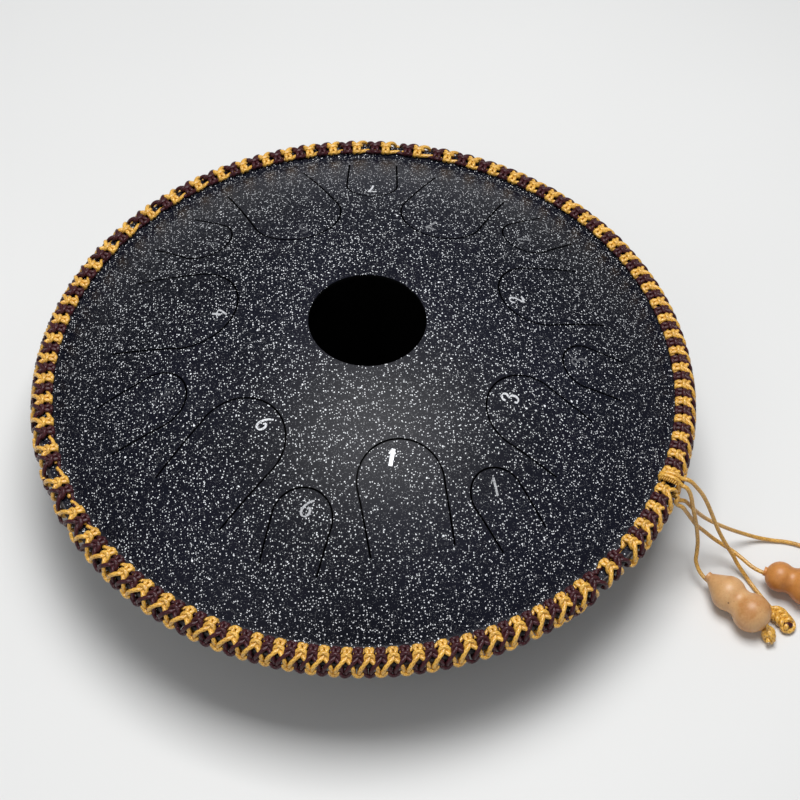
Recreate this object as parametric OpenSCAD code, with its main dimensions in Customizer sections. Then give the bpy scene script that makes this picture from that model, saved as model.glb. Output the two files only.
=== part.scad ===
// Steel tongue drum with fourteen tongues, a braided rim and two gourd pendants.
// Millimetres, +Z up, origin on the floor under the middle of the drum.
// The player sits at -Y, and the low tongue marked 1 points at them, a little to the right.

/* [Shells] */
// Diameter over the two rim flanges
drum_d = 355; // [340:1:370]
// Width of each flange, from the dome's foot to the rim
flange_w = 9.5; // [8.5:0.5:12]
// Height of the dome above the top flange
top_rise = 50; // [44:1:56]
// Depth of the lower shell below its flange
bottom_rise = 56; // [50:1:62]
// Thickness of the steel sheet
shell_t = 2; // [1.5:0.1:2.4]
// Radius of the bend between shell and flange
flange_bend_r = 4; // [2:0.5:5]
// Clear height under the middle of the lower shell
ground_gap = 8; // [6:0.5:12]
// Diameter of the sound hole
hole_d = 62.5; // [50:0.5:70]
// Radius of the weld bead that joins the flanges
weld_r = 1.6; // [1:0.1:2]

/* [Tongues] */
// Width of the slit round each tongue
slit_w = 1; // [0.8:0.1:1.4]
// Least distance from the drum's axis to the tip of a low tongue
low_tip_r = 71.4; // [68:0.2:76]
// Length of the longest low tongue, seen from above
low_length = 73.5; // [60:0.5:75]
// Width of the widest low tongue
low_width = 52; // [44:1:56]
// Least distance from the drum's axis to the tip of a high tongue
high_tip_r = 100.4; // [96:0.2:104]
// Length of the longest high tongue, seen from above
high_length = 46; // [36:1:46]
// Width of the widest high tongue
high_width = 31.8; // [28:0.2:34]
// Hairline gap at each root, where the real sheet bends
flexure_gap = 0.1; // [0.08:0.01:0.2]

/* [Braid] */
// Diameter of every cord
cord_d = 2.3; // [2:0.1:2.6]
// How far the braid reaches in over the flange
braid_reach = 7.5; // [6.5:0.5:8]
// How far the braid stands out past the flange
braid_overhang = 4.9; // [4:0.1:6]
// Height of the braid above the top flange
braid_over = 4.4; // [3.5:0.1:5]
// Depth of the braid below the bottom flange
braid_under = 2.6; // [2.3:0.1:4]
// Number of gold knots round the rim, with as many brown ones between
braid_pairs = 78; // [60:1:90]
// Width of the tie bands along the rim
tie_w = 5.5; // [4:0.5:9]
// Thickness of the tie bands
tie_t = 1.4; // [1.2:0.1:2]

/* [Feet] */
// Distance of the feet from the drum's axis
foot_circle_r = 80; // [70:1:90]
// Diameter of a rubber foot
foot_d = 24; // [20:1:28]
// Diameter of the recess for the screw head
foot_recess_d = 11; // [10:0.5:13]
// Depth of the recess for the screw head
foot_recess_h = 6; // [5:0.5:8]
// Thread diameter of the foot screws
screw_d = 4; // [3:0.5:5]
// Clearance round a screw in the rubber and the steel
screw_clearance = 0.25; // [0.15:0.05:0.4]
// Clearance between screw and nut flanks
thread_clearance = 0.05; // [0.03:0.01:0.08]
// Diameter of the screw head
head_d = 8; // [7:0.5:9]
// Height of the screw head
head_h = 2.6; // [2:0.2:3.2]
// Diameter of the rubber pads inside the lower shell
pad_d = 16; // [14:1:18]
// Thickness of a pad at its middle
pad_t = 4.5; // [4:0.5:6]
// Diameter of the washers
washer_d = 12; // [10:0.5:13]
// Thickness of the washers
washer_t = 1; // [0.8:0.1:1.5]
// Width of the nuts across their flats
nut_flats = 7; // [6.5:0.5:8.5]
// Height of the nuts
nut_h = 3.2; // [2.4:0.2:4]
// Length of screw that stands past the nut
screw_spare = 1.6; // [1:0.2:3]

/* [Gourds] */
// Diameter of the big lobe of the first gourd
gourd_1_big_d = 21.6; // [20:0.2:23]
// Diameter of the small lobe of the first gourd
gourd_1_small_d = 19.6; // [17:0.2:20.6]
// Distance between the lobe centres of the first gourd
gourd_1_pitch = 16.5; // [15:0.5:19]
// Distance from stem end to small lobe centre, first gourd
gourd_1_neck = 15.5; // [12.5:0.5:16.5]
// Diameter of the big lobe of the second gourd
gourd_2_big_d = 21.6; // [20:0.2:23]
// Diameter of the small lobe of the second gourd
gourd_2_small_d = 17; // [15:0.2:18.6]
// Distance between the lobe centres of the second gourd
gourd_2_pitch = 15.5; // [14.5:0.5:17]
// Distance from stem end to small lobe centre, second gourd
gourd_2_neck = 9.5; // [9.5:0.5:11.5]
// Radius of the hollow at a gourd's waist
waist_bend_r = 6; // [4:0.5:7]
// Diameter of a gourd's stem end
stem_d = 5.2; // [4.8:0.2:6]
// Clearance round the cord in a gourd's bore
bore_clearance = 0.45; // [0.35:0.05:0.6]
// How far a gourd slides up its cord
gourd_travel = 6; // [2:0.5:6]
// Gap between a gourd and the knot behind it
knot_gap = 0.3; // [0.2:0.1:1]
// Diameter of the end knots behind the gourds
bead_knot_d = 8.4; // [7:0.2:9]
// Length of the end knots behind the gourds
bead_knot_length = 11.5; // [11:0.5:15]
// Diameter of the end knots on the bare cords
bare_knot_d = 10; // [8:0.2:11]
// Length of the end knots on the bare cords
bare_knot_length = 18.5; // [17:0.5:22]

/* [Hidden] */
$fn = 96;

// Overrun of every cut
cut = 1;

// Heights and radii of the shells
rim_r = drum_d / 2;
dome_r = rim_r - flange_w;
rim_z = ground_gap + bottom_rise + shell_t;
top_flange_z = rim_z + shell_t;
bottom_flange_z = rim_z - shell_t;
// Radius of a sphere whose cap has this rise over the dome's foot
function cap_r(rise) = (dome_r * dome_r + rise * rise) / (2 * rise);
top_r = cap_r(top_rise);
bottom_r = cap_r(bottom_rise);
top_centre_z = top_flange_z + top_rise - top_r;
bottom_centre_z = bottom_flange_z - bottom_rise + bottom_r;

// Angle of each note's tongue from the front (-Y) towards the right, for notes 1 to 7.
// Wide tongues stand further apart than narrow ones.
low_angles = [4.3, 101.7, 52.9, 253.3, 198.6, 310.9, 148.9];
high_angles = [28.4, 125.6, 77.3, 283.1, 224.9, 337.8, 173];
notes = len(low_angles);
// Place and size of each note's tongue against the nearest and the biggest, for notes 1 to 7
low_tip_shares = [1.035, 1.069, 1.064, 1, 1.015, 1.004, 1.06];
low_length_shares = [0.744, 0.735, 0.683, 0.859, 1, 0.827, 0.888];
low_width_shares = [0.833, 0.804, 0.806, 1, 0.938, 0.908, 0.875];
high_tip_shares = [1.035, 1.069, 1.054, 1, 1.028, 1.007, 1.061];
high_length_shares = [0.807, 0.848, 0.722, 0.974, 0.861, 0.835, 1];
high_width_shares = [0.849, 0.855, 0.824, 1, 0.972, 0.94, 0.89];
// Width of a tongue where its sides leave the round tip, and at its root, against the widest
side_width_share = 0.995;
root_width_share = 0.96;

// Braid: gold share of each pair of knots, and corner radii
gold_share = 0.5;
braid_corner_share = 0.75;
braid_corner_r = min(braid_over, braid_under) * braid_corner_share;
braid_in_r = rim_r - braid_reach;
braid_out_r = rim_r + braid_overhang;
tie_span = tie_w / braid_out_r * 180 / PI;
tie_upper_angle = 60.5;
// The lower tie stands just beside the upper one, by this share of a tie's width
tie_beside_share = 1.04;
tie_lower_angle = tie_upper_angle - tie_span * tie_beside_share;
tie_drop_share = 0.35;
knot_step = 360 / braid_pairs;

// Feet stand at the front, at the right and at the left
foot_front_angle = 0;
foot_right_angle = 120;
foot_left_angle = 240;
foot_angles = [foot_front_angle, foot_right_angle, foot_left_angle];
// Height of the lower shell's inner face over a foot's middle
foot_seat_z = bottom_centre_z - sqrt(pow(bottom_r - shell_t, 2) - pow(foot_circle_r, 2));
pad_top_z = foot_seat_z + pad_t;
washer_top_z = pad_top_z + washer_t;
nut_top_z = washer_top_z + nut_h;
head_slot_w_share = 0.16;
head_slot_l_share = 0.62;
head_slot_h_share = 0.5;

// Gourds lie level on the floor, this far above it
rest_gap = 0.1;
gourd_1_stem = [177.1, -114.3];
gourd_1_heading = -53.5;
gourd_2_stem = [209.3, -114.8];
gourd_2_heading = -30;
gourd_1_z = gourd_1_big_d / 2 + rest_gap;
gourd_2_z = gourd_2_big_d / 2 + rest_gap;
gourd_1_end = gourd_1_neck + gourd_1_pitch + gourd_1_big_d / 2;
gourd_2_end = gourd_2_neck + gourd_2_pitch + gourd_2_big_d / 2;
// Angle on the small lobe at which the shoulder cone starts
shoulder_angle = 50;
stem_land_share = 0.3;
gourd_1_knot = knot_seat(gourd_1_neck + gourd_1_pitch, gourd_1_big_d);
gourd_2_knot = knot_seat(gourd_2_neck + gourd_2_pitch, gourd_2_big_d);
bead_knot_z = bead_knot_d / 2 + rest_gap;

// Distance from a stem end to the nearer centre of the knot that lies behind the big lobe
function knot_seat(lobe, big_d) =
    lobe + sqrt(
        pow((big_d + bead_knot_d) / 2 + knot_gap, 2) - pow((big_d - bead_knot_d) / 2, 2)
    );

// Point this far along a gourd's axis from its stem end
function along(stem, heading, z, s) =
    [stem[0] + s * cos(heading), stem[1] + s * sin(heading), z];

// Last run of a gourd's cord: straight through the bore, then down into the knot
function bead_run(stem, heading, z, end, knot) = [
    along(stem, heading, z, -gourd_travel - cord_d / 2),
    along(stem, heading, z, end / 2),
    along(stem, heading, z, end),
    along(stem, heading, (z + bead_knot_z) / 2, knot)
];

// Routes of the four free cords, from the tie to the knot or the gourd
cord_a_route = [
    [160.2, -88.4, 71], [162, -89, 70.8], [164, -89.6, 69.3], [167, -90.4, 65.5],
    [171, -91.4, 59.5], [175, -92.8, 51.5], [179, -95, 42], [183.6, -98, 31],
    [189, -101, 20.5], [193.8, -104, 12.5], [197.4, -107.5, 6.5], [200.9, -112, 2.6],
    [203.3, -117, 1.4], [205.3, -121.9, 1.4], [207.2, -126.7, 1.8], [208.7, -131.3, 3],
    [210, -135.8, 4.5]
];
cord_b_route = concat([
    [158.5, -91.5, 69.6], [160.3, -92.4, 69], [162.3, -93.3, 66.2], [164, -94.4, 61.5],
    [165.6, -95.4, 55], [167.5, -96.8, 47.6], [169.6, -97.8, 39.6], [171.3, -98.8, 31.4],
    [172.5, -100.3, 23.7], [172.5, -102.7, 17.6], [172.1, -105.4, 13.1]
], bead_run(gourd_1_stem, gourd_1_heading, gourd_1_z, gourd_1_end, gourd_1_knot));
cord_c_route = [
    [157.7, -94, 59.6], [160.5, -93.8, 58.4], [163.5, -93.3, 54.5], [167, -92.6, 48.5],
    [171.5, -91.8, 41.5], [178, -91, 33], [186, -90, 24.5], [195, -89, 16],
    [204.5, -88.5, 8.8], [214, -89, 3.6], [223, -90.5, 1.5], [231, -92.4, 1.3],
    [238, -95.6, 1.3], [244, -100, 1.3], [248.6, -106, 1.3], [251.4, -113, 2.2],
    [252.6, -120, 4.2]
];
cord_d_route = concat([
    [156, -96.7, 59.6], [158.8, -97.2, 57.6], [162.1, -96.3, 51.6], [166.5, -94.9, 42.4],
    [171.5, -94.7, 33.3], [177.3, -94.9, 26], [184, -96, 18.5], [190, -97.9, 13.8],
    [195, -100.9, 11.4], [199.2, -105.8, 10.9]
], bead_run(gourd_2_stem, gourd_2_heading, gourd_2_z, gourd_2_end, gourd_2_knot));

// Sides of a cord's tube, and the rise per length from which a route counts as upright
cord_sides = 8;
steep_share = 0.9;

// Bare knots: their headings on the floor, and how deep the cord runs in
knot_a_heading = -56;
knot_c_heading = -80;
knot_entry_share = 0.12;
// Turn of the knots behind the gourds against the gourd's axis
bead_knot_turn = -56;

steel = [0.13, 0.13, 0.16];
inner_steel = [0.1, 0.1, 0.11];
gold = [0.86, 0.62, 0.24];
brown = [0.24, 0.1, 0.12];
gourd_skin = [0.85, 0.58, 0.33];
rubber = [0.06, 0.06, 0.06];
zinc = [0.7, 0.72, 0.74];

// Turn children from the front (-Y) towards the right
module around(angle) {
    rotate([0, 0, angle - 90]) children();
}

// Profile of a shell: a sheet of the sphere, its bend and its flange, above height zero
module shell_profile(r, rise) {
    centre = shell_t + rise - r;
    bend_x = sqrt(pow(r + flange_bend_r, 2) - pow(shell_t + flange_bend_r - centre, 2));
    foot_x = bend_x * r / (r + flange_bend_r);
    foot_y = centre + (shell_t + flange_bend_r - centre) * r / (r + flange_bend_r);
    intersection() {
        difference() {
            translate([0, centre]) circle(r = r, $fn = 360);
            translate([0, centre]) circle(r = r - shell_t, $fn = 360);
        }
        square([dome_r, shell_t + rise + cut]);
    }
    translate([dome_r - shell_t, 0]) square([flange_w + shell_t, shell_t]);
    difference() {
        polygon([
            [foot_x, foot_y], [foot_x, shell_t], [bend_x, shell_t],
            [bend_x, shell_t + flange_bend_r]
        ]);
        translate([bend_x, shell_t + flange_bend_r]) circle(r = flange_bend_r);
    }
}

// Upright block with a tongue's outline, from its tip outwards along +X
module tongue_block(length, width, grow, end) {
    half = width / 2;
    half_side = half * side_width_share + grow;
    half_root = half * root_width_share + grow;
    height = top_rise + cut;
    translate([half, 0, top_flange_z]) cylinder(r = half + grow, h = height);
    translate([0, 0, top_flange_z])
    linear_extrude(height)
    polygon([
        [half, -half_side], [half, half_side],
        [length + end, half_root], [length + end, -half_root]
    ]);
}

// One tongue, cut from the dome's sheet
module tongue(tip_r, length, width, angle) {
    color(steel)
    intersection() {
        difference() {
            translate([0, 0, top_centre_z]) sphere(r = top_r, $fn = 360);
            translate([0, 0, top_centre_z]) sphere(r = top_r - shell_t, $fn = 360);
        }
        around(angle) translate([tip_r, 0, 0]) tongue_block(length, width, 0, -flexure_gap);
    }
}

// Slot that leaves the slit round a tongue
module tongue_slot(tip_r, length, width, angle) {
    around(angle) translate([tip_r, 0, 0]) tongue_block(length, width, slit_w, 0);
}

module tongue_low(note) {
    tongue(
        low_tip_r * low_tip_shares[note - 1], low_length * low_length_shares[note - 1],
        low_width * low_width_shares[note - 1], low_angles[note - 1]
    );
}

module tongue_high(note) {
    tongue(
        high_tip_r * high_tip_shares[note - 1], high_length * high_length_shares[note - 1],
        high_width * high_width_shares[note - 1], high_angles[note - 1]
    );
}

module top_shell() {
    color(steel)
    difference() {
        translate([0, 0, rim_z]) rotate_extrude($fn = 360) shell_profile(top_r, top_rise);
        translate([0, 0, rim_z]) cylinder(d = hole_d, h = shell_t + top_rise + cut);
        for (i = [0 : notes - 1]) {
            tongue_slot(
                low_tip_r * low_tip_shares[i], low_length * low_length_shares[i],
                low_width * low_width_shares[i], low_angles[i]
            );
            tongue_slot(
                high_tip_r * high_tip_shares[i], high_length * high_length_shares[i],
                high_width * high_width_shares[i], high_angles[i]
            );
        }
    }
}

module bottom_shell() {
    color(steel)
    difference() {
        translate([0, 0, rim_z])
        mirror([0, 0, 1])
        rotate_extrude($fn = 360) shell_profile(bottom_r, bottom_rise);
        for (angle = foot_angles)
            at_foot(angle) cylinder(r = screw_d / 2 + screw_clearance, h = rim_z);
    }
}

// Half-round bead on the edges of the two flanges
module rim_weld() {
    color(inner_steel)
    translate([0, 0, rim_z])
    rotate_extrude($fn = 360)
    difference() {
        translate([rim_r, 0]) circle(r = weld_r, $fn = 32);
        translate([0, -weld_r - cut]) square([rim_r, 2 * (weld_r + cut)]);
    }
}

// Rectangle with round corners, from its lower left corner
module round_rect(w, h, r) {
    translate([r, 0]) square([w - 2 * r, h]);
    translate([0, r]) square([w, h - 2 * r]);
    for (x = [r, w - r])
        for (y = [r, h - r])
            translate([x, y]) circle(r = r, $fn = 32);
}

// Outline of the braid across the rim, grown on every side
module braid_outline(grow) {
    translate([braid_in_r - grow, bottom_flange_z - braid_under - grow])
    round_rect(
        braid_out_r - braid_in_r + 2 * grow,
        braid_over + braid_under + 2 * shell_t + 2 * grow,
        braid_corner_r + grow
    );
}

// Section of the flanges and the weld that the braid holds
module rim_outline() {
    translate([0, bottom_flange_z]) square([rim_r, 2 * shell_t]);
    translate([rim_r, rim_z]) circle(r = weld_r, $fn = 32);
}

// Every second knot of the braid, in one colour
module braid_knots(start, share) {
    for (i = [0 : braid_pairs - 1])
        around(start + i * knot_step - knot_step * share / 2)
        rotate_extrude(angle = knot_step * share)
        difference() {
            braid_outline(0);
            rim_outline();
        }
}

module braid_gold() {
    color(gold) braid_knots(0, gold_share);
}

module braid_brown() {
    color(brown) braid_knots(knot_step / 2, 1 - gold_share);
}

// Band of whipped cord round the braid, where the first two cords come out
module tie_upper() {
    color(gold)
    around(tie_upper_angle - tie_span / 2)
    rotate_extrude(angle = tie_span)
    difference() {
        braid_outline(tie_t);
        braid_outline(0);
        translate([0, bottom_flange_z - braid_under - tie_t - cut])
        square([braid_in_r, braid_over + braid_under + 2 * (shell_t + tie_t + cut)]);
    }
}

// Knot under the outer edge of the braid, where the other two cords come out
module tie_lower() {
    height = cord_d + tie_t / 2;
    color(gold)
    around(tie_lower_angle - tie_span / 2)
    rotate_extrude(angle = tie_span)
    translate([
        braid_out_r - (braid_out_r - braid_in_r) * tie_drop_share,
        bottom_flange_z - braid_under - height
    ])
    square([(braid_out_r - braid_in_r) * tie_drop_share + tie_t, height]);
}

// Directions along a route, and the ring of a tube about each of its points
function unit(v) = v / norm(v);
function heading_at(route, i) =
    let (n = len(route) - 1)
    i == 0 ? unit(route[1] - route[0])
    : i == n ? unit(route[n] - route[n - 1])
    : unit(unit(route[i + 1] - route[i]) + unit(route[i] - route[i - 1]));
function side_at(route, i) =
    let (h = heading_at(route, i))
    unit(cross(h, abs(h[2]) < steep_share ? [0, 0, 1] : [1, 0, 0]));
// Side vector carried along the route without twist
function carried(route, i) =
    i == 0 ? side_at(route, 0)
    : let (h = heading_at(route, i), s = carried(route, i - 1))
    unit(s - h * (s * h));
function ring(route, i) =
    let (h = heading_at(route, i), s = carried(route, i), t = cross(h, s))
    [for (k = [0 : cord_sides - 1])
        route[i] + cord_d / 2 * (cos(360 * k / cord_sides) * s + sin(360 * k / cord_sides) * t)];

// Tube along a route, one ring of corners at each point
module cord_tube(route) {
    last = len(route) - 1;
    corners = [for (i = [0 : last]) each ring(route, i)];
    color(gold)
    polyhedron(
        points = corners,
        faces = concat(
            [[for (k = [0 : cord_sides - 1]) k]],
            [for (i = [0 : last - 1]) for (k = [0 : cord_sides - 1])
                let (a = i * cord_sides + k, b = i * cord_sides + (k + 1) % cord_sides)
                [a, a + cord_sides, b]],
            [for (i = [0 : last - 1]) for (k = [0 : cord_sides - 1])
                let (a = i * cord_sides + k, b = i * cord_sides + (k + 1) % cord_sides)
                [b, a + cord_sides, b + cord_sides]],
            [[for (k = [cord_sides - 1 : -1 : 0]) last * cord_sides + k]]
        )
    );
}

module cord_a() { cord_tube(cord_a_route); }
module cord_b() { cord_tube(cord_b_route); }
module cord_c() { cord_tube(cord_c_route); }
module cord_d() { cord_tube(cord_d_route); }

// Half section of a gourd, its stem end at the origin and its axis along +Y
module gourd_profile(small_d, big_d, neck, pitch) {
    small_r = small_d / 2;
    big_r = big_d / 2;
    reach_1 = small_r + waist_bend_r;
    reach_2 = big_r + waist_bend_r;
    waist_y = (reach_1 * reach_1 - reach_2 * reach_2 + pitch * pitch) / (2 * pitch);
    waist_x = sqrt(reach_1 * reach_1 - waist_y * waist_y);
    difference() {
        union() {
            translate([0, neck]) circle(r = small_r);
            translate([0, neck + pitch]) circle(r = big_r);
            difference() {
                polygon([[0, neck], [waist_x, neck + waist_y], [0, neck + pitch]]);
                translate([waist_x, neck + waist_y]) circle(r = waist_bend_r);
            }
            polygon([
                [0, 0], [stem_d / 2, 0], [stem_d / 2, stem_d * stem_land_share],
                [small_r * sin(shoulder_angle), neck - small_r * cos(shoulder_angle)],
                [0, neck]
            ]);
        }
        translate([cord_d / 2 + bore_clearance - big_d, -cut])
        square([big_d, neck + pitch + big_d]);
    }
}

module gourd(small_d, big_d, neck, pitch, stem, heading, z) {
    color(gourd_skin)
    translate([stem[0], stem[1], z])
    rotate([0, 0, heading])
    rotate([0, 90, 0])
    rotate_extrude() gourd_profile(small_d, big_d, neck, pitch);
}

module gourd_1() {
    gourd(
        gourd_1_small_d, gourd_1_big_d, gourd_1_neck, gourd_1_pitch,
        gourd_1_stem, gourd_1_heading, gourd_1_z
    );
}

module gourd_2() {
    gourd(
        gourd_2_small_d, gourd_2_big_d, gourd_2_neck, gourd_2_pitch,
        gourd_2_stem, gourd_2_heading, gourd_2_z
    );
}

// Knot of outer shape only: a round-ended rod that starts at the origin and runs along +X
module knot(d, length) {
    color(gold) {
        translate([d / 2, 0, 0]) rotate([0, 90, 0]) cylinder(d = d, h = length - d);
        translate([d / 2, 0, 0]) sphere(d = d);
        translate([length - d / 2, 0, 0]) sphere(d = d);
    }
}

module bare_knot(route, heading) {
    end = route[len(route) - 1];
    translate(along(
        end, heading, bare_knot_d / 2 + rest_gap, -bare_knot_length * knot_entry_share
    ))
    rotate([0, 0, heading]) knot(bare_knot_d, bare_knot_length);
}

module bead_knot(stem, heading, seat) {
    translate(along(stem, heading, bead_knot_z, seat))
    rotate([0, 0, heading + bead_knot_turn])
    translate([-bead_knot_d / 2, 0, 0]) knot(bead_knot_d, bead_knot_length);
}

module knot_a() { bare_knot(cord_a_route, knot_a_heading); }
module knot_b() { bead_knot(gourd_1_stem, gourd_1_heading, gourd_1_knot); }
module knot_c() { bare_knot(cord_c_route, knot_c_heading); }
module knot_d() { bead_knot(gourd_2_stem, gourd_2_heading, gourd_2_knot); }

// Put children over the middle of one foot
module at_foot(angle) {
    around(angle) translate([foot_circle_r, 0, 0]) children();
}

module foot(angle) {
    color(rubber)
    difference() {
        at_foot(angle) cylinder(d = foot_d, h = rim_z);
        translate([0, 0, bottom_centre_z]) sphere(r = bottom_r, $fn = 360);
        at_foot(angle)
        translate([0, 0, -cut])
        cylinder(d = foot_recess_d, h = foot_recess_h + cut);
        at_foot(angle) cylinder(r = screw_d / 2 + screw_clearance, h = rim_z);
    }
}

module foot_front() { foot(foot_front_angle); }
module foot_right() { foot(foot_right_angle); }
module foot_left() { foot(foot_left_angle); }

// Pan-head screws with a cross recess, heads down in the feet
module foot_screws() {
    color(zinc)
    for (angle = foot_angles)
        at_foot(angle)
        difference() {
            union() {
                translate([0, 0, foot_recess_h - head_h]) cylinder(d = head_d, h = head_h);
                translate([0, 0, foot_recess_h])
                cylinder(d = screw_d, h = nut_top_z + screw_spare - foot_recess_h);
            }
            for (turn = [0, 90])
                rotate([0, 0, turn])
                translate([
                    -head_d * head_slot_l_share / 2,
                    -head_d * head_slot_w_share / 2,
                    foot_recess_h - head_h - cut
                ])
                cube([
                    head_d * head_slot_l_share,
                    head_d * head_slot_w_share,
                    head_h * head_slot_h_share + cut
                ]);
        }
}

// Rubber pads that fill the curve between the lower shell and the washers
module foot_pads() {
    color(rubber)
    for (angle = foot_angles)
        intersection() {
            at_foot(angle)
            difference() {
                cylinder(d = pad_d, h = pad_top_z);
                cylinder(r = screw_d / 2 + screw_clearance, h = pad_top_z);
            }
            translate([0, 0, bottom_centre_z]) sphere(r = bottom_r - shell_t, $fn = 360);
        }
}

module foot_washers() {
    color(zinc)
    for (angle = foot_angles)
        at_foot(angle)
        translate([0, 0, pad_top_z])
        difference() {
            cylinder(d = washer_d, h = washer_t);
            translate([0, 0, -cut])
            cylinder(r = screw_d / 2 + screw_clearance, h = washer_t + 2 * cut);
        }
}

module foot_nuts() {
    color(zinc)
    for (angle = foot_angles)
        at_foot(angle)
        translate([0, 0, washer_top_z])
        difference() {
            cylinder(r = nut_flats / sqrt(3), h = nut_h, $fn = 6);
            translate([0, 0, -cut])
            cylinder(r = screw_d / 2 + thread_clearance, h = nut_h + 2 * cut);
        }
}

top_shell();
bottom_shell();
rim_weld();
tongue_low(1);  // tongue_low_1
tongue_low(2);  // tongue_low_2
tongue_low(3);  // tongue_low_3
tongue_low(4);  // tongue_low_4
tongue_low(5);  // tongue_low_5
tongue_low(6);  // tongue_low_6
tongue_low(7);  // tongue_low_7
tongue_high(1);  // tongue_high_1
tongue_high(2);  // tongue_high_2
tongue_high(3);  // tongue_high_3
tongue_high(4);  // tongue_high_4
tongue_high(5);  // tongue_high_5
tongue_high(6);  // tongue_high_6
tongue_high(7);  // tongue_high_7
braid_gold();
braid_brown();
tie_upper();
tie_lower();
cord_a();
cord_b();
cord_c();
cord_d();
gourd_1();
gourd_2();
knot_a();
knot_b();
knot_c();
knot_d();
foot_front();
foot_right();
foot_left();
foot_screws();
foot_pads();
foot_washers();
foot_nuts();
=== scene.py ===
import math
import random

import bpy
import numpy as np
from mathutils import Matrix, Vector


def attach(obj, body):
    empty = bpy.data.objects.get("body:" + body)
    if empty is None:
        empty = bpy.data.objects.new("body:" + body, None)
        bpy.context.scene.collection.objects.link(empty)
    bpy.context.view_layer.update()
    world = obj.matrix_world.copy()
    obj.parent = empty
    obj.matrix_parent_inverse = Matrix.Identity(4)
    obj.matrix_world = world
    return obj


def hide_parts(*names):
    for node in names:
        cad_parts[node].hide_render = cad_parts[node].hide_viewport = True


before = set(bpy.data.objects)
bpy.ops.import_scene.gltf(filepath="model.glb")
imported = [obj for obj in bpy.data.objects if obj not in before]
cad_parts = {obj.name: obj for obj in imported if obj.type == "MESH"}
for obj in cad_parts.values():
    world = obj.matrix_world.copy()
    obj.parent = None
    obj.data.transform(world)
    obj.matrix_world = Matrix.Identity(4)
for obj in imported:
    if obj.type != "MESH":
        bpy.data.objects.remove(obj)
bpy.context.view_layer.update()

# Camera of the photograph: it stands before the player's side and looks down at 55 degrees.
# Its place, direction and lens were solved from the drum's rim, hole and tongues.
camera_at = Vector((-0.05205, -0.54061, 0.77429))
camera_right = Vector((0.98867, -0.14039, 0.05311))
camera_up = Vector((0.08431, 0.81215, 0.57733))
camera_back = camera_right.cross(camera_up)
lens = bpy.data.cameras.new("camera")
lens.lens = 72.36
lens.shift_x = -0.1
lens.shift_y = 0.05
camera = bpy.data.objects.new("camera", lens)
camera.matrix_world = Matrix.LocRotScale(
    camera_at, Matrix((camera_right, camera_up, camera_back)).transposed(), None
)
bpy.context.scene.collection.objects.link(camera)
bpy.context.scene.camera = camera
bpy.context.scene.view_settings.view_transform = "Standard"


# The four pendant cords: braided nylon, 2.3 mm thick. Two come out of the whipped tie on top
# of the braid and two from the bight under it. They fall to the table and lie on it.
cord_radius = 0.00115
cord_sides = 14
cord_step = 0.0012


class Signal:
    """An output socket of a material. Arithmetic on it adds Math nodes to that material."""

    def __init__(self, socket):
        self.socket = socket

    def node(self, kind, settings, values, output=0):
        """Any node: its settings come first, then the values or links of its sockets."""
        tree = self.socket.id_data
        made = tree.nodes.new(kind)
        for key, value in settings.items():
            setattr(made, key, value)
        for key, value in values.items():
            if isinstance(value, Signal):
                tree.links.new(value.socket, made.inputs[key])
            else:
                made.inputs[key].default_value = value
        return Signal(made.outputs[output])

    def sum(self, operation, *values):
        return self.node("ShaderNodeMath", {"operation": operation}, dict(enumerate(values)))

    def __add__(self, other):
        return self.sum("ADD", self, other)

    __radd__ = __add__

    def __mul__(self, other):
        return self.sum("MULTIPLY", self, other)

    __rmul__ = __mul__

    def __sub__(self, other):
        return self.sum("SUBTRACT", self, other)

    def __rsub__(self, other):
        return self.sum("SUBTRACT", other, self)

    def __gt__(self, other):
        return self.sum("GREATER_THAN", self, other)

    def sine(self):
        return self.sum("SINE", self)

    def largest(self, other):
        return self.sum("MAXIMUM", self, other)

    def part(self, index):
        """One of the three numbers of a vector."""
        return self.node("ShaderNodeSeparateXYZ", {}, {0: self}, index)

    def scaled(self, *scale):
        return self.node("ShaderNodeVectorMath", {"operation": "MULTIPLY"}, {0: self, 1: scale})

    def ramp(self, low, high):
        """Goes smoothly from 0 at low to 1 at high."""
        return self.node(
            "ShaderNodeMapRange",
            {"interpolation_type": "SMOOTHSTEP"},
            {"Value": self, "From Min": low, "From Max": high},
        )

    def blend(self, first, second):
        """Colour first where the signal is 0 and second where it is 1."""
        colour = [c if isinstance(c, Signal) else (*c, 1) for c in (first, second)]
        return self.node(
            "ShaderNodeMix", {"data_type": "RGBA"}, {0: self, 6: colour[0], 7: colour[1]}, 2
        )

    def noise(self, scale, detail=2.0, output=0):
        return self.node(
            "ShaderNodeTexNoise", {}, {"Vector": self, "Scale": scale, "Detail": detail}, output
        )

    def cells(self, size, output):
        """Cells of this size in metres: output 0 is the distance, 1 a colour for each cell."""
        return self.node("ShaderNodeTexVoronoi", {}, {"Vector": self, "Scale": 1 / size}, output)

    def bump(self, height, strength, distance):
        return self.node(
            "ShaderNodeBump",
            {},
            {"Strength": strength, "Distance": distance, "Height": height},
        )


def new_finish(name, read, **fixed):
    """A material with these values on its shader, the shader, and the coordinates it reads."""
    material = bpy.data.materials.new(name)
    material.use_nodes = True
    nodes = material.node_tree.nodes
    shader = nodes["Principled BSDF"]
    for key, value in fixed.items():
        shader.inputs[key.replace("_", " ")].default_value = value
    return material, shader, Signal(nodes.new("ShaderNodeTexCoord").outputs[read])


def feed(shader, **signals):
    for key, signal in signals.items():
        shader.id_data.links.new(signal.socket, shader.inputs[key.replace("_", " ")])


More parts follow.
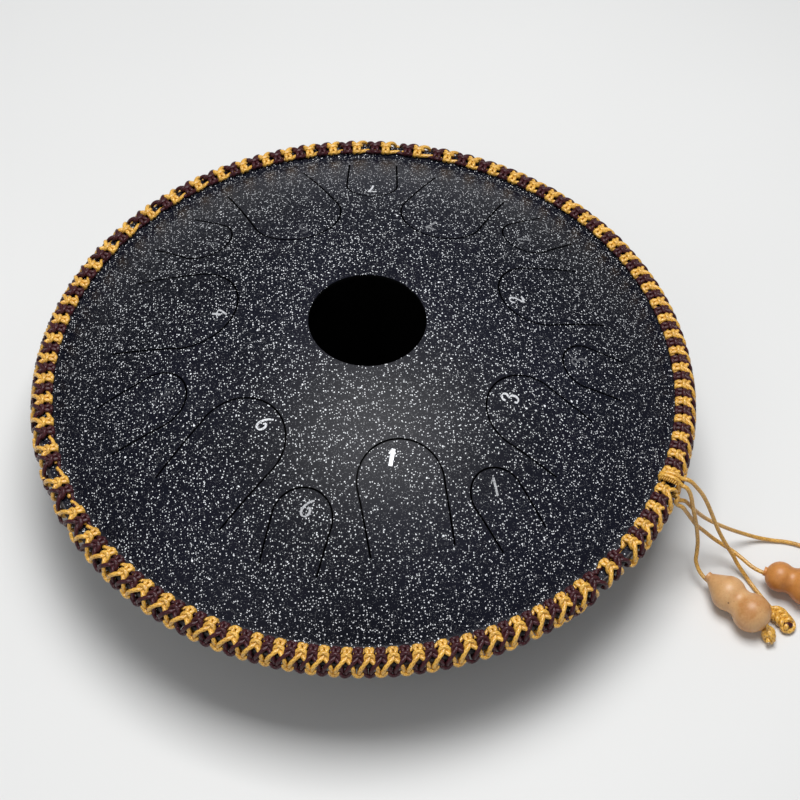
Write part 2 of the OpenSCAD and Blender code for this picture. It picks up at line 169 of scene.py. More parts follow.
def cord_finish(name, light, deep, gloss):
    """Braided nylon: two sets of fine yarns cross round the cord, with a satin gloss."""
    yarns = 8
    lay = 2.6
    material, shader, skin = new_finish(
        name, "UV", Specular_IOR_Level=gloss, Coat_Weight=0.6 * gloss, Coat_Roughness=0.22
    )
    turn = 2 * math.pi
    around = skin.part(0) * (turn * yarns / 2)
    along = skin.part(1) * (turn / lay)
    yarn = (along + around).sine().largest((along - around).sine())
    fibre = skin.scaled(40, 5, 1).noise(1.0)
    place = skin.node("ShaderNodeTexCoord", {}, {}, "Object")
    patches = place.noise(260.0)
    # The darker colour in the grooves between the yarns is painted shade; the fibre and patch noise
    # are the cord's own uneven tone.
    groove_shade_and_fibre = yarn.ramp(-0.8, 0.35) * 0.4 + fibre.ramp(0.3, 0.7) * 0.2
    tone = groove_shade_and_fibre + patches.ramp(0.3, 0.7) * 0.28 + 0.12
    feed(
        shader,
        Base_Color=tone.blend(deep, light),
        Roughness=0.46 - tone * 0.16,
        Normal=skin.bump(yarn * 0.75 + fibre * 0.25, 0.6, 0.0002),
    )
    return material


gold_cord = cord_finish("gold_cord", (0.96, 0.55, 0.09), (0.26, 0.085, 0.005), 0.6)
pendant_cord = cord_finish("pendant_cord", (0.82, 0.45, 0.075), (0.22, 0.085, 0.006), 0.7)
brown_cord = cord_finish("brown_cord", (0.066, 0.013, 0.018), (0.011, 0.0025, 0.003), 0.25)


def smooth_line(points, step):
    """Points at even steps along a smooth line through the given points."""
    points = np.array(points, float)
    at = np.concatenate([[0], np.cumsum(np.linalg.norm(np.diff(points, axis=0), axis=1))])
    slope = np.gradient(points, at, axis=0)
    where = np.linspace(0, at[-1], max(3, round(at[-1] / step) + 1))
    i = np.clip(np.searchsorted(at, where, side="right") - 1, 0, len(at) - 2)
    span = (at[i + 1] - at[i])[:, None]
    s = (where - at[i])[:, None] / span
    return (
        (2 * s**3 - 3 * s**2 + 1) * points[i]
        + (s**3 - 2 * s**2 + s) * span * slope[i]
        + (3 * s**2 - 2 * s**3) * points[i + 1]
        + (s**3 - s**2) * span * slope[i + 1]
    )


def cord_piece(name, strands, sides, material):
    """One mesh of round cords, from pairs of a line and a radius in metres.

    Its UV map holds the share of a turn, and the millimetres along the cord."""
    corners, faces, skin = [], [], []
    shares = np.arange(sides) / sides * 2 * math.pi
    for line, radius in strands:
        first = len(corners)
        heading = np.gradient(line, axis=0)
        heading /= np.linalg.norm(heading, axis=1)[:, None]
        side = np.cross(heading[0], (0.3, 0.2, 0.93))
        rings = []
        for h in heading:
            side = side - h * (side @ h)
            side /= np.linalg.norm(side)
            rings.append((side, np.cross(h, side)))
        rings = np.array(rings)
        ring = (
            np.cos(shares)[None, :, None] * rings[:, None, 0]
            + np.sin(shares)[None, :, None] * rings[:, None, 1]
        )
        cap = 0.55 * radius
        line = np.concatenate([[line[0] - heading[0] * cap], line, [line[-1] + heading[-1] * cap]])
        ring = np.concatenate([ring[:1] * 0.6, ring, ring[-1:] * 0.6])
        steps = np.linalg.norm(np.diff(line, axis=0), axis=1)
        along = np.concatenate([[0], np.cumsum(steps)]) * 1000
        corners.extend((line[:, None] + ring * radius).reshape(-1, 3).tolist())
        last = len(line) - 1
        for i in range(last):
            a = first + i * sides
            for k in range(sides):
                n = (k + 1) % sides
                faces.append((a + k, a + n, a + sides + n, a + sides + k))
                skin += [
                    (k / sides, along[i]),
                    ((k + 1) / sides, along[i]),
                    ((k + 1) / sides, along[i + 1]),
                    (k / sides, along[i + 1]),
                ]
        faces.append(tuple(first + k for k in reversed(range(sides))))
        faces.append(tuple(first + last * sides + k for k in range(sides)))
        skin += [(0.5, 0.0)] * sides + [(0.5, along[-1])] * sides
    mesh = bpy.data.meshes.new(name)
    mesh.from_pydata(corners, [], faces)
    mesh.uv_layers.new(name="UVMap").data.foreach_set("uv", np.array(skin).ravel())
    mesh.polygons.foreach_set("use_smooth", [True] * len(mesh.polygons))
    mesh.materials.append(material)
    piece = bpy.data.objects.new(name, mesh)
    bpy.context.scene.collection.objects.link(piece)
    return piece


# The gourd on a cord: where its stem is (mm), its heading (degrees) and its length (mm)
gourds = {"b": ((177.1, -114.3), -53.5, 42.8), "d": ((209.3, -114.8), -30, 35.8)}
bore_height = 10.9
straight_lead = 7.15
bead_knot_height = 4.3
knot_past_gourd = 3.003


def bead_run(letter):
    """Last points of a gourd's cord, in millimetres: through the bore and down to the knot."""
    stem, heading, length = gourds[letter]
    heading = math.radians(heading)
    run = [
        (-straight_lead, bore_height), (length / 2, bore_height), (length, bore_height),
        (length + knot_past_gourd, (bore_height + bead_knot_height) / 2),
    ]
    return [(stem[0] + s * math.cos(heading), stem[1] + s * math.sin(heading), z) for s, z in run]


cord_routes = {
    "a": [
        (160.2, -88.4, 71), (162, -89, 70.8), (164, -89.6, 69.3), (167, -90.4, 65.5),
        (171, -91.4, 59.5), (175, -92.8, 51.5), (179, -95, 42), (183.6, -98, 31),
        (189, -101, 20.5), (193.8, -104, 12.5), (197.4, -107.5, 6.5), (200.9, -112, 2.6),
        (203.3, -117, 1.4), (205.3, -121.9, 1.4), (207.2, -126.7, 1.8), (208.7, -131.3, 3),
        (210, -135.8, 4.5),
    ],
    "b": [
        (158.5, -91.5, 69.6), (160.3, -92.4, 69), (162.3, -93.3, 66.2), (164, -94.4, 61.5),
        (165.6, -95.4, 55), (167.5, -96.8, 47.6), (169.6, -97.8, 39.6), (171.3, -98.8, 31.4),
        (172.5, -100.3, 23.7), (172.5, -102.7, 17.6), (172.1, -105.4, 13.1),
    ] + bead_run("b"),
    "c": [
        (157.7, -94, 59.6), (160.5, -93.8, 58.4), (163.5, -93.3, 54.5), (167, -92.6, 48.5),
        (171.5, -91.8, 41.5), (178, -91, 33), (186, -90, 24.5), (195, -89, 16),
        (204.5, -88.5, 8.8), (214, -89, 3.6), (223, -90.5, 1.5), (231, -92.4, 1.3),
        (238, -95.6, 1.3), (244, -100, 1.3), (248.6, -106, 1.3), (251.4, -113, 2.2),
        (252.6, -120, 4.2),
    ],
    "d": [
        (156, -96.7, 59.6), (158.8, -97.2, 57.6), (162.1, -96.3, 51.6), (166.5, -94.9, 42.4),
        (171.5, -94.7, 33.3), (177.3, -94.9, 26), (184, -96, 18.5), (190, -97.9, 13.8),
        (195, -100.9, 11.4), (199.2, -105.8, 10.9),
    ] + bead_run("d"),
}
pendant_cords = {}
for letter, route in cord_routes.items():
    line = smooth_line(np.array(route) / 1000, cord_step)
    cord = cord_piece("pendant_cord_" + letter, [(line, cord_radius)], cord_sides, pendant_cord)
    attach(cord, "drum")
    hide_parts("cord_" + letter)
    pendant_cords[letter] = (cord, line)


# The braid: gold and brown nylon cord half-hitched over the rim by turns, with 78 places for
# each. The knots stand closer or wider apart round the rim, as they do in the photograph, and
# a brown one that would stand where the upper tie sits is left out.
braid_radius = 176.2
braid_foot = 170
flange_top = 68
braid_step = 0.0011
braid_sides = 8
unevenness = 0.12
most_lean = 4
knots = 78
last_knot = 40
first_knot_angle = -5.5
tie_angle = 60.5
tie_room = 1.6
# The gap between knots without a unit, because it is scaled so that all knots fit. Each swell
# of it has a height, an angle and a width, the last two in degrees.
plain_gap = 1.39
swells = (
    (0.9, -72.8, 10.55), (0.45, -139.95, 14.72), (5.8, 39.06, 1.79),
    (0.66, 166.15, 9.79), (-0.29, -13.39, 17.61), (-0.19, 82.35, 46.64),
)
degrees = np.arange(-200, 200.01, 0.25)
gap = plain_gap + sum(
    a * np.exp(-((((degrees - c + 180) % 360 - 180) / w) ** 2)) for a, c, w in swells
)
count = np.concatenate([[0], np.cumsum(0.5 / (gap[1:] + gap[:-1]))])
count *= knots / (np.interp(160, degrees, count) - np.interp(-200, degrees, count))
count -= np.interp(first_knot_angle, degrees, count)
chance = random.Random(14)


def rim_point(angle, u, v, w):
    """A point in metres: u along the rim, v outwards from the braid's foot, w above the flange."""
    turn = math.radians(angle) + u / braid_radius
    r = (braid_foot + v) / 1000
    return (r * math.sin(turn), -r * math.cos(turn), (flange_top + w) / 1000)


def braid_knot(pitch):
    """Lines of one knot in millimetres (u, v, w), with the radius of each."""
    reach = min(pitch, 12.8)
    left = -0.43 * reach
    right = 0.345 * reach
    smile = min(2.7, 0.22 * pitch)
    half = pitch / 2 - 1
    return [
        (1.2, [
            (1.3, 1.9, 0.7), (1.55, 0.9, 1.9), (1.5, 1.8, 3.0), (1.15, 3.4, 3.15),
            (0.5, 5.0, 2.7), (-0.2, 6.6, 2.5), (0.35 * left, 8.3, 2.5), (0.7 * left, 10.0, 1.2),
            (0.95 * left, 11.1, -1.0), (1.05 * left, 11.2, -3.2), (1.05 * left, 10.2, -5.1),
            (left, 7.5, -5.6), (0.9 * left, 3.5, -5.5), (0.8 * left, 1.4, -5.3),
        ]),
        (1.15, [
            (-1.3, 1.9, 0.7), (-1.55, 0.9, 1.9), (-1.5, 1.8, 3.0), (-1.15, 3.4, 3.1),
            (-0.45, 5.0, 2.3), (0.35, 6.6, 1.9), (0.45 * right, 8.2, 2.1),
            (0.8 * right, 9.7, 0.8), (right, 10.6, -1.4), (1.05 * right, 10.8, -3.3),
            (1.05 * right, 9.9, -5.0), (right, 7.5, -5.5), (0.9 * right, 3.5, -5.4),
            (0.8 * right, 1.4, -5.3),
        ]),
        (1.2, [
            (-2.3, 7.3, 0.9), (-2.45, 6.3, 2.2), (-1.7, 5.3, 3.4), (0, 4.9, 3.9),
            (1.7, 5.3, 3.4), (2.45, 6.3, 2.2), (2.3, 7.3, 0.9),
        ]),
        (1.0, [
            (-pitch / 2 - smile, 11.6, -2.6), (-pitch / 2 - 0.6 * smile, 11.9, -4.3),
            (-pitch / 2, 12.1, -5.0), (-pitch / 2 + 0.6 * smile, 11.9, -4.3),
            (-pitch / 2 + smile, 11.6, -2.6),
        ]),
        (1.1, [
            (-half, 3.2, 1.2), (-pitch / 4, 2.2, 1.6), (-2.6, 1.6, 1.6), (-1.2, 0.9, 2.4),
            (0, 0.9, 2.6), (1.2, 1.4, 1.8), (half, 3.2, 1.2),
        ]),
    ]


colours = {"gold": [], "brown": []}
for i in range(last_knot + 1 - knots, last_knot + 1):
    angle = np.interp(i, count, degrees)
    pitch_angle = 1 / np.interp(angle, degrees, np.gradient(count, degrees))
    pitch = math.radians(pitch_angle) * braid_radius
    beside = min(0.5 * pitch_angle, 2.15)
    for colour, at in (("gold", angle), ("brown", angle + beside)):
        if colour == "brown" and abs(at - tie_angle) < tie_room:
            continue
        lean = math.radians(chance.uniform(-most_lean, most_lean))
        swell = chance.uniform(0.95, 1.05)
        for radius, points in braid_knot(pitch):
            shift = [chance.uniform(-unevenness, unevenness) for axis in range(3)]
            line = [
                rim_point(
                    at,
                    u * swell + (v - 6) * lean + shift[0],
                    v + shift[1],
                    w + shift[2],
                )
                for u, v, w in points
            ]
            colours[colour].append((smooth_line(line, braid_step), radius / 1000))
for colour, material in (("gold", gold_cord), ("brown", brown_cord)):
    braid = cord_piece("braid_" + colour + "_cord", colours[colour], braid_sides, material)
    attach(braid, "drum")
    colour + "_cord"
    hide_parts("braid_" + colour)


# Upper tie: the pendant cords a and b lie side by side over the braid, and a thinner cord is
# whipped along each side of the pair in seven turns, which show as rows of small bumps.
pair_u = 1.2
tie_step = 0.001
whip_turns = 7
whip_sides = 12
whip_radius = 0.75
whip_thread = 0.0004
whip_u = 2.7
whip_start = 1.5
whip_length = 8.3
whip_top = 4.2
whip_middle = 5.5
leg_thread = 0.0007
strands = []
for u, letter in ((pair_u, "a"), (-pair_u, "b")):
    end = cord_routes[letter][0]
    end_rise = 0.4 * 4.4 + 0.6 * (end[2] - flange_top)
    run = [
        rim_point(tie_angle, u * 0.8, 0.4, 0.8), rim_point(tie_angle, u * 0.8, -0.2, 2.2),
        rim_point(tie_angle, u * 0.8, 0.9, 3.9), rim_point(tie_angle, u * 0.9, 3.2, 5.0),
        rim_point(tie_angle, u, 6.0, 5.3), rim_point(tie_angle, u, 9.0, 4.9),
        rim_point(tie_angle, u * 1.1, 11.4, end_rise),
    ]
    run.append(tuple(c / 1000 for c in end))
    strands.append((smooth_line(run, tie_step), cord_radius))
for side in (-1, 1):
    turns = []
    for k in range(whip_turns * whip_sides + 1):
        phase = 2 * math.pi * k / whip_sides
        v = whip_start + whip_length * k / (whip_turns * whip_sides)
        u = side * (whip_u + whip_radius * math.cos(phase))
        rise = whip_top - 0.035 * (v - whip_middle) ** 2
        turns.append(rim_point(tie_angle, u, v, rise + whip_radius * math.sin(phase)))
    strands.append((np.array(turns), whip_thread))
for u, v in ((-2.4, 1.2), (2.4, 1.2), (-2.4, 10.0), (2.4, 10.0)):
    outwards = 1 if v > whip_middle else -1
    leg = [
        rim_point(tie_angle, u * 0.3, v, 4.1),
        rim_point(tie_angle, u * 0.8, v + 0.5 * outwards, 3.4),
        rim_point(tie_angle, u, v + 0.9 * outwards, 1.6),
        rim_point(tie_angle, u, v, -1.0),
    ]
    strands.append((smooth_line(leg, tie_step), leg_thread))
tie = cord_piece("whipped_tie", strands, braid_sides, gold_cord)
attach(tie, "drum")
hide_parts("tie_upper")

# Lower tie: the pendant cords c and d are the two ends of one cord, whose bight hangs out
# under the braid. A short cord holds it and goes back under the rim.
low_angle = 58.7
bight_step = 0.0008
holder_radius = 0.0009
knot_sides = 10
c_start = Vector(cord_routes["c"][0]) / 1000
d_start = Vector(cord_routes["d"][0]) / 1000
bight = [
    tuple(d_start),
    rim_point(low_angle, -1.7, 12.9, -7.4), rim_point(low_angle, -1.5, 12.6, -5.9),
    rim_point(low_angle, 0, 12.6, -5.1), rim_point(low_angle, 1.5, 12.6, -5.9),
    rim_point(low_angle, 1.7, 12.9, -7.4),
    tuple(c_start),
]
holder = [
    rim_point(low_angle, -0.6, 3.0, -6.4), rim_point(low_angle, -0.6, 8.0, -6.8),
    rim_point(low_angle, -0.5, 11.6, -7.6), rim_point(low_angle, 0, 13.4, -7.3),
    rim_point(low_angle, 0.5, 11.8, -5.3), rim_point(low_angle, 0.6, 9.5, -6.0),
    rim_point(low_angle, 0.6, 4.0, -6.2),
]
bight_tie = cord_piece(
    "bight_tie",
    [(smooth_line(bight, bight_step), cord_radius), (smooth_line(holder, bight_step), holder_radius)],
    knot_sides,
    pendant_cord,
)
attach(bight_tie, "drum")
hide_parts("tie_lower")


# End knots. On the bare cords a and c: a flat plait of three parts with a loop at its end.
# Behind the gourds: a barrel of slanted turns with a melted tip.
def laid(points, start, heading):
    """Points (along, across, height) in millimetres, laid from a start in this direction."""
    heading = math.radians(heading)
    return [
        (
            (start[0] + s * math.cos(heading) - y * math.sin(heading)) / 1000,
            (start[1] + s * math.sin(heading) + y * math.cos(heading)) / 1000,
            z / 1000,
        )
        for s, y, z in points
    ]


knot_strand = 0.0014
knot_step = 0.0007
plait_parts = 3
plait_points = 40
plait_start = 0.6
plait_length = 12.6
plait_pitch = 9.6
plait_width = 3.2
for letter, heading in (("a", -56), ("c", -80)):
    start = cord_routes[letter][-1]
    plait = []
    for part in range(plait_parts):
        run = []
        for k in range(plait_points + 1):
            s = plait_start + plait_length * k / plait_points
            phase = 2 * math.pi * (s / plait_pitch + part / plait_parts)
            across = plait_width * min(1, (s + 1.5) / 3.5) * math.sin(phase)
            run.append((s, across, 3.8 + 1.5 * math.sin(2 * phase)))
        plait.append(run)
    edge = [
        (-0.4, 0.2, 4.6), (1.6, 2.2, 5.4), (4.5, 4.0, 4.6), (8, 4.2, 3.4), (10.4, 4.1, 3.0),
        (13.0, 3.6, 2.6), (14.6, 2.3, 2.4), (15.4, 0, 2.4), (14.6, -2.4, 2.4), (12.8, -3.6, 2.6),
        (10.8, -3.4, 3.2),
    ]
    inside = [(11.4, -2.2, 4.8), (12.4, -0.9, 5.3), (13.6, 0.6, 4.4)]
    lines = [
        (smooth_line(laid(run, start, heading), knot_step), knot_strand)
        for run in plait + [edge, inside]
    ]
    knot = cord_piece("end_knot_" + letter, lines[:-1], knot_sides, gold_cord)
    core = cord_piece("end_knot_" + letter + "_core", lines[-1:], knot_sides, brown_cord)
    for piece in (knot, core):
        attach(piece, "drum")
    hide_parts("knot_" + letter)

knot_turn = -56
barrel_sides = 16
barrel_steps = 40
tip_radius = 0.00105
tip_step = 0.0003
tip_sides = 12
melted, shader, place = new_finish(
    "melted_nylon", "Object", Transmission_Weight=0.75, Roughness=0.2, IOR=1.52
)
feed(shader, Base_Color=place.noise(900.0).blend((0.75, 0.62, 0.42), (0.95, 0.9, 0.8)))
for letter, (stem, heading, length) in gourds.items():
    turns = []
    for k in range(barrel_steps + 1):
        phase = 2 * math.pi * k / barrel_sides
        bulge = math.sin(math.pi * (0.3 + 0.46 * k / barrel_steps))
        turns.append((
            -2.2 + 5.2 * k / barrel_steps + 1.5 * math.cos(phase + 0.7),
            2.8 * bulge * math.cos(phase),
            4.4 + 2.7 * bulge * math.sin(phase),
        ))
    through = [(-3.4, 0, 5.0), (-1.6, 0, 4.6), (0.6, 0, 4.4), (2.6, 0, 4.3), (4.4, 0.4, 4.2)]
    cross = [
        (-2.8, -1.8, 6.0), (-1.4, -1.3, 7.5), (0.6, -0.2, 8.0), (2.4, 1.4, 7.1), (3.4, 2.8, 5.0),
    ]
    blob = [(4.4, 0.4, 4.2), (4.9, 0.5, 4.1), (5.3, 0.6, 4.0)]
    seat = length + knot_past_gourd
    start = (
        stem[0] + seat * math.cos(math.radians(heading)),
        stem[1] + seat * math.sin(math.radians(heading)),
    )
    heading += knot_turn
    lines = [
        (smooth_line(laid(run, start, heading), knot_step), knot_strand)
        for run in (turns, through, cross)
    ]
    knot = cord_piece("end_knot_" + letter, lines, knot_sides, gold_cord)
    drop = (smooth_line(laid(blob, start, heading), tip_step), tip_radius)
    tip = cord_piece("end_knot_" + letter + "_tip", [drop], tip_sides, melted)
    for piece in (knot, tip):
        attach(piece, "drum")
    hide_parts("knot_" + letter)

for letter, held in (
    ("a", ["end_knot_a", "end_knot_a_core"]),
    ("b", ["gourd_1", "end_knot_b", "end_knot_b_tip"]),
    ("c", ["end_knot_c", "end_knot_c_core"]),
    ("d", ["gourd_2", "end_knot_d", "end_knot_d_tip"]),
):
    cord, line = pendant_cords[letter]
    float(np.linalg.norm(np.diff(line, axis=0), axis=1).sum())


# Gourd beads: two dried bottle gourds, satin varnish over a tan skin with darker freckles.
# The second one is more orange. Their solids are kept as they are.
for name, light, deep, pin in (
    ("gourd_1", (0.68, 0.39, 0.17), (0.50, 0.22, 0.065), (0.1834, -0.1350, 0.0153)),
    ("gourd_2", (0.60, 0.25, 0.06), (0.42, 0.145, 0.024), (0.2260, -0.1290, 0.0180)),
):
    skin, shader, place = new_finish(
        name + "_skin", "Object", Coat_Weight=0.25, Coat_Roughness=0.3, Subsurface_Weight=0.05,
        Subsurface_Scale=0.001, Specular_IOR_Level=0.45,
    )
    clouds = place.noise(85.0, 4.0)
    grain = place.scaled(1, 1, 0.35).noise(900.0, 3.0)
    freckle = 1 - place.noise(1400.0, 1.0).ramp(0.22, 0.34)
    away = place.node("ShaderNodeVectorMath", {"operation": "DISTANCE"}, {0: place, 1: pin}, 1)
    # The pinhole is a small dent with a dark dot: the dark colour is painted shade inside the hole.
    hole = 1 - away.ramp(0.0002, 0.0007)
    tone = clouds.ramp(0.34, 0.6) * 0.75 + grain.ramp(0.3, 0.7) * 0.25
    base = freckle.blend(tone.blend(deep, light), deep)
    feed(
        shader,
        Base_Color=hole.blend(base, (0.16, 0.08, 0.03)),
        Roughness=0.36 + grain * 0.2,
        Normal=place.bump(clouds * 0.6 + grain * 0.2 - hole * 0.6, 0.35, 0.0004),
    )
    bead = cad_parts[name]
    bead.data.materials.clear()
    bead.data.materials.append(skin)


# Shells and tongues: pressed steel sheet with a baked black paint, full of white speckles.
# The speckles are torn cells of five sizes, each cell with its own brightness, and the finest
# are dim. Only the outer skin is painted so: the cut edges and the inside are coloured near-black
# as painted shade.
dome_radius = 307.24
dome_centre = -189.24
belly_radius = 280.0
belly_centre = 288.0
tear = 0.0007


def paint_finish(name, radius, centre):
    """Speckled paint for the outside of a sphere (millimetres) about a point on the drum's axis."""
    paint, shader, place = new_finish(name, "Object", Specular_IOR_Level=0.12)
    facing = place.node("ShaderNodeTexCoord", {}, {}, "Normal")
    spoke = place.node(
        "ShaderNodeVectorMath", {"operation": "SUBTRACT"}, {0: place, 1: (0, 0, centre / 1000)}
    )
    outwards = place.node(
        "ShaderNodeVectorMath", {"operation": "DOT_PRODUCT"}, {0: facing, 1: spoke}, "Value"
    )
    skin = outwards > (0.6 * radius / 1000)
    torn = place.node(
        "ShaderNodeVectorMath",
        {"operation": "MULTIPLY_ADD"},
        {0: place.noise(1400.0, 2.0, 1), 1: (tear, tear, tear), 2: place},
    )
    specks = None
    for cell, reach, share, glow in (
        (0.0052, 0.12, 0.13, 1.0), (0.0026, 0.16, 0.25, 1.0), (0.0017, 0.22, 0.37, 1.0),
        (0.0011, 0.29, 0.37, 1.0), (0.0007, 0.34, 0.45, 0.13),
    ):
        cells = torn.cells(cell, 0)
        tint = torn.cells(cell, 1)
        one = (1 - cells.ramp(reach * 0.8, reach)) * (tint.part(0) > (1 - share))
        one = one * (tint.part(1) * (0.35 * glow) + 0.65 * glow)
        specks = one if specks is None else specks.largest(one)
    specks = specks * skin
    peel = place.noise(1500.0, 2.0)
    clouds = place.noise(9.0, 3.0).ramp(0.3, 0.7)
    ground = clouds.blend((0.003, 0.0034, 0.0072), (0.006, 0.0066, 0.0132))
    feed(
        shader,
        # Off the outer skin, on the cut edges and the inside, the near-black colour is painted shade.
        Base_Color=specks.blend(skin.blend((0.003, 0.003, 0.003), ground), (0.95, 0.97, 1.0)),
        Roughness=0.7 - skin * 0.35 + peel * 0.06,
        Normal=place.bump(peel * 0.5 + specks * 0.5, 0.15, 0.0001),
    )
    return paint


dome_paint = paint_finish("dome_paint", dome_radius, dome_centre)
belly_paint = paint_finish("belly_paint", belly_radius, belly_centre)
for name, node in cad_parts.items():
    if name.endswith("_shell") or name.startswith("tongue"):
        node.data.materials.clear()
        node.data.materials.append(belly_paint if name == "bottom_shell" else dome_paint)


# Numerals: one plain number on each tongue near its tip, laser-marked through the paint to
# silver. They are pen strokes under 0.1 mm thick that lie on the dome and ride on their tongues.
# Each one is made brighter or dimmer as painted light and shade.
numeral_w = 6.4
numeral_h = 8.4
pen_step = 0.4
mark_foot = 0.005
mark_top = 0.09
# For each number its strokes: the pen's width in millimetres, then points as shares of w and h
strokes = {
    1: [(2.1, (0.76, 1), (0.25, 0)), (1.0, (0.58, 0.92), (0.45, 0.83), (0.32, 0.76))],
    2: [(1.2, (0.16, 0.74), (0.28, 0.94), (0.52, 1), (0.74, 0.88), (0.72, 0.66), (0.48, 0.40),
         (0.10, 0.06)), (1.9, (0.10, 0.06), (0.35, 0.10), (0.60, 0.03), (0.80, 0.10))],
    3: [(1.3, (0.10, 0.62), (0.06, 0.80), (0.24, 0.98), (0.50, 0.98), (0.66, 0.80), (0.52, 0.60)),
        (1.4, (0.44, 0.56), (0.78, 0.52), (0.96, 0.26), (0.84, 0.04), (0.56, 0), (0.44, 0.14))],
    4: [(1.2, (0.58, 1), (0.12, 0.36), (0.80, 0.36)), (1.3, (0.60, 0.62), (0.46, 0))],
    5: [(1.5, (0.36, 0.98), (0.60, 0.96), (0.82, 1)), (1.1, (0.36, 0.98), (0.26, 0.60)),
        (1.2, (0.26, 0.60), (0.50, 0.62), (0.68, 0.44), (0.62, 0.16), (0.38, 0), (0.14, 0.08))],
    6: [(1.3, (0.88, 1), (0.56, 0.86), (0.24, 0.58), (0.10, 0.28), (0.20, 0.05), (0.44, 0),
         (0.68, 0.14), (0.76, 0.38), (0.64, 0.54), (0.46, 0.44))],
    7: [(1.5, (0.12, 0.86), (0.20, 0.97), (0.50, 0.93), (0.84, 1)),
        (1.3, (0.84, 1), (0.58, 0.6), (0.40, 0))],
}
# Note, angle, tip radius, place from the tip and across, and brightness as painted light and shade,
# low tongues first
marks = [
    ("low", 1, 4.3, 73.9, 8.8, -2.6, 1.0), ("low", 2, 101.7, 76.3, 7.8, -3.0, 0.75),
    ("low", 3, 52.9, 76.0, 10.0, 0.5, 0.8), ("low", 4, 253.3, 71.4, 8.0, 3.9, 0.7),
    ("low", 5, 198.6, 72.5, 9.0, 2.0, 0.12), ("low", 6, 310.9, 71.7, 8.6, 3.5, 0.8),
    ("low", 7, 148.9, 75.7, 10.0, 0.2, 0.28), ("high", 1, 28.4, 103.9, 9.3, 1.0, 0.5),
    ("high", 2, 125.6, 107.3, 10.0, -1.2, 0.22), ("high", 3, 77.3, 105.8, 8.6, 1.0, 0.14),
    ("high", 4, 283.1, 100.4, 8.6, -1.0, 0.02), ("high", 5, 224.9, 103.2, 9.0, 0.0, 0.08),
    ("high", 6, 337.8, 101.1, 9.1, 1.0, 0.5), ("high", 7, 173.0, 106.5, 8.8, -0.4, 0.9),
]
for kind, note, angle, tip, inset, across, painted_light in marks:
    turn = math.radians(angle)
    out = np.array((math.sin(turn), -math.cos(turn)))
    side = np.array((math.cos(turn), math.sin(turn)))
    centre = out * (tip + inset) + side * across
    corners, faces = [], []
    for bold, *stroke in strokes[note]:
        pen = smooth_line(
            [(numeral_w * (x - 0.45), numeral_h * (y - 0.5), 0) for x, y in stroke], pen_step
        )
        way = np.gradient(pen, axis=0)
        way /= np.linalg.norm(way, axis=1)[:, None]
        share = np.linspace(0, 1, len(pen))
        for k, (spot, ahead) in enumerate(zip(pen, way)):
            wide = bold * (0.45 + 0.55 * abs(ahead[1]))
            if len(stroke) > 2:
                wide *= min(1, 0.75 + 3 * min(share[k], 1 - share[k]))
            if (kind, note) == ("high", 1):
                wide *= 0.6
            for lift in (mark_foot, mark_top):
                for edge in (-1, 1):
                    x = spot[0] - ahead[1] * edge * wide / 2
                    y = spot[1] + ahead[0] * edge * wide / 2
                    px, py = centre + side * x - out * y
                    height = dome_centre + math.sqrt((dome_radius + lift) ** 2 - px**2 - py**2)
                    corners.append((px / 1000, py / 1000, height / 1000))
        first = len(corners) - 4 * len(pen)
        for k in range(len(pen) - 1):
            a = first + 4 * k
            b = a + 4
            faces += [
                (a + 2, a + 3, b + 3, b + 2), (a, b, b + 1, a + 1),
                (a, a + 2, b + 2, b), (a + 1, b + 1, b + 3, a + 3),
            ]
        faces += [(first, first + 1, first + 3, first + 2)]
        last = len(corners) - 4
        faces += [(last, last + 2, last + 3, last + 1)]
    mesh = bpy.data.meshes.new("numeral")
    mesh.from_pydata(corners, [], faces)
    silver, shader, place = new_finish("mark_%s_%d" % (kind, note), "Object", Roughness=0.45)
    worn = place.noise(1600.0, 3.0).ramp(0.25, 0.5)
    # painted_light scales the silver: painted light on lit numerals, painted shade on dim ones; worn
    # is the wear of the marking.
    feed(
        shader,
        Base_Color=(worn * painted_light).blend((0.012, 0.013, 0.02), (0.80, 0.81, 0.84)),
        Metallic=worn * (0.25 * painted_light),
        Normal=place.bump(place.noise(2500.0), 0.3, 0.0001),
    )
    mesh.materials.append(silver)
    numeral = bpy.data.objects.new("numeral_%s_%d" % (kind, note), mesh)
    bpy.context.scene.collection.objects.link(numeral)
    bpy.ops.object.select_all(action="DESELECT")
    numeral.select_set(True)
    bpy.context.view_layer.objects.active = numeral
    bpy.ops.object.mode_set(mode="EDIT")
    bpy.ops.mesh.select_all(action="SELECT")
    bpy.ops.mesh.normals_make_consistent(inside=False)
    bpy.ops.object.mode_set(mode="OBJECT")
    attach(numeral, "tongue_%s_%d" % (kind, note))


# Rim weld: a hand-laid bead of dark steel that joins the flanges of the two shells. It is left
# unpainted, because the braid covers it, and shows the ripples of the torch.
bead, shader, place = new_finish("weld_steel", "Object", Metallic=0.9)
ripple = place.noise(420.0, 2.0)
feed(
    shader,
    Base_Color=ripple.ramp(0.3, 0.7).blend((0.05, 0.048, 0.05), (0.16, 0.15, 0.15)),
    Roughness=0.4 + ripple * 0.3,
    Normal=place.bump(ripple, 0.6, 0.0004),
)

# Feet and pads: black moulded rubber, matt, with the fine pitting of the mould and some dust.
# A foot stands under the shell and a pad lies inside, and one screw holds both.
rubber, shader, place = new_finish("black_rubber", "Object", Specular_IOR_Level=0.35)
pits = place.noise(1800.0, 2.0)
dust = place.noise(60.0, 4.0).ramp(0.45, 0.75)
feed(
    shader,
    Base_Color=dust.blend((0.014, 0.014, 0.015), (0.045, 0.043, 0.04)),
    Roughness=0.68 + pits * 0.2,
    Normal=place.bump(pits, 0.5, 0.00015),
)

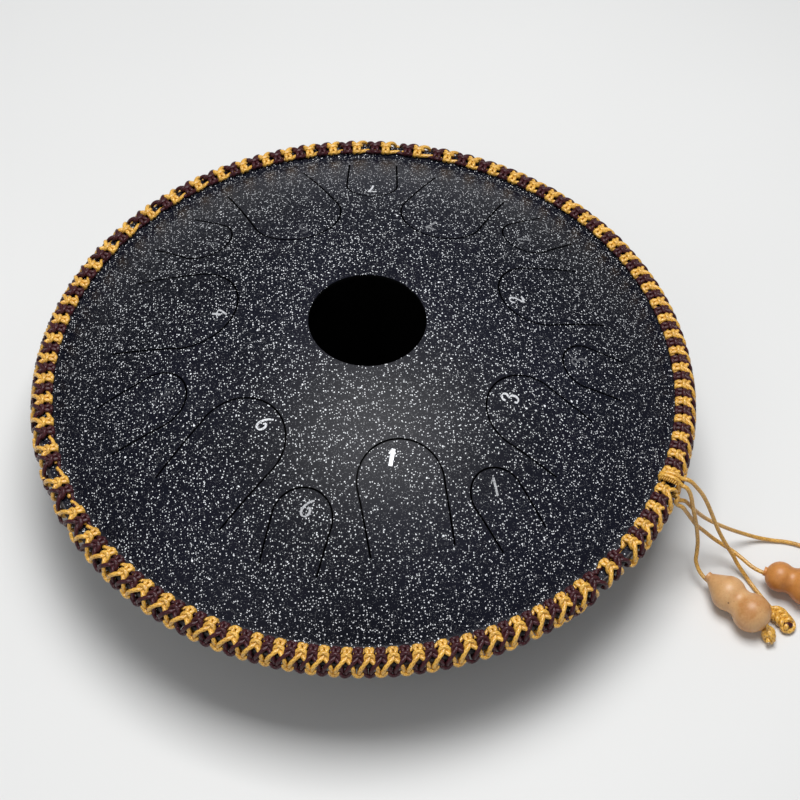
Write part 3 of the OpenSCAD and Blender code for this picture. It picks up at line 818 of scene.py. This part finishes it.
# Screws, washers and nuts: zinc-plated steel with a faint turned grain and duller stains.
# They clamp the feet and pads through the bottom shell.
zinc, shader, place = new_finish("zinc_steel", "Object", Metallic=1.0)
grain = place.scaled(1, 1, 14).noise(420.0, 2.0)
stain = place.noise(240.0, 3.0).ramp(0.35, 0.7)
feed(
    shader,
    Base_Color=stain.blend((0.62, 0.63, 0.65), (0.42, 0.42, 0.40)),
    Roughness=0.28 + grain * 0.16,
    Normal=place.bump(grain, 0.25, 0.0001),
)
for name, material, slot in (
    ("rim_weld", bead, "weld_steel"), ("foot_front", rubber, "black_rubber"),
    ("foot_right", rubber, "black_rubber"), ("foot_left", rubber, "black_rubber"),
    ("foot_pads", rubber, "black_rubber"), ("foot_screws", zinc, "zinc_steel"),
    ("foot_washers", zinc, "zinc_steel"), ("foot_nuts", zinc, "zinc_steel"),
):
    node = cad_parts[name]
    node.data.materials.clear()
    node.data.materials.append(material)


# Stage: a pale table, and the soft light of a big overhead lamp and a weak one from the left
# front, in a pale room.
bpy.ops.object.select_all(action="DESELECT")
bpy.ops.mesh.primitive_plane_add(size=8)
table = bpy.context.object
table.name = "table"
surface, shader, place = new_finish("table", "Object", Roughness=0.6)
feed(shader, Base_Color=place.noise(3.0).blend((0.72, 0.72, 0.71), (0.78, 0.78, 0.77)))
table.data.materials.append(surface)
room = bpy.data.worlds.new("room")
room.use_nodes = True
room.node_tree.nodes["Background"].inputs["Color"].default_value = (0.93, 0.96, 1, 1)
room.node_tree.nodes["Background"].inputs["Strength"].default_value = 0.26
bpy.context.scene.world = room
for name, at, size, power in (
    ("key_lamp", (0.06, 0.14, 1.3), 0.7, 16.5),
    ("fill_lamp", (-0.9, -0.9, 1.1), 1.0, 2.6),
):
    light = bpy.data.lights.new(name, "AREA")
    light.size = size
    light.energy = power
    lamp = bpy.data.objects.new(name, light)
    lamp.location = at
    lamp.rotation_euler = (-Vector(at)).to_track_quat("-Z", "Y").to_euler()
    bpy.context.scene.collection.objects.link(lamp)
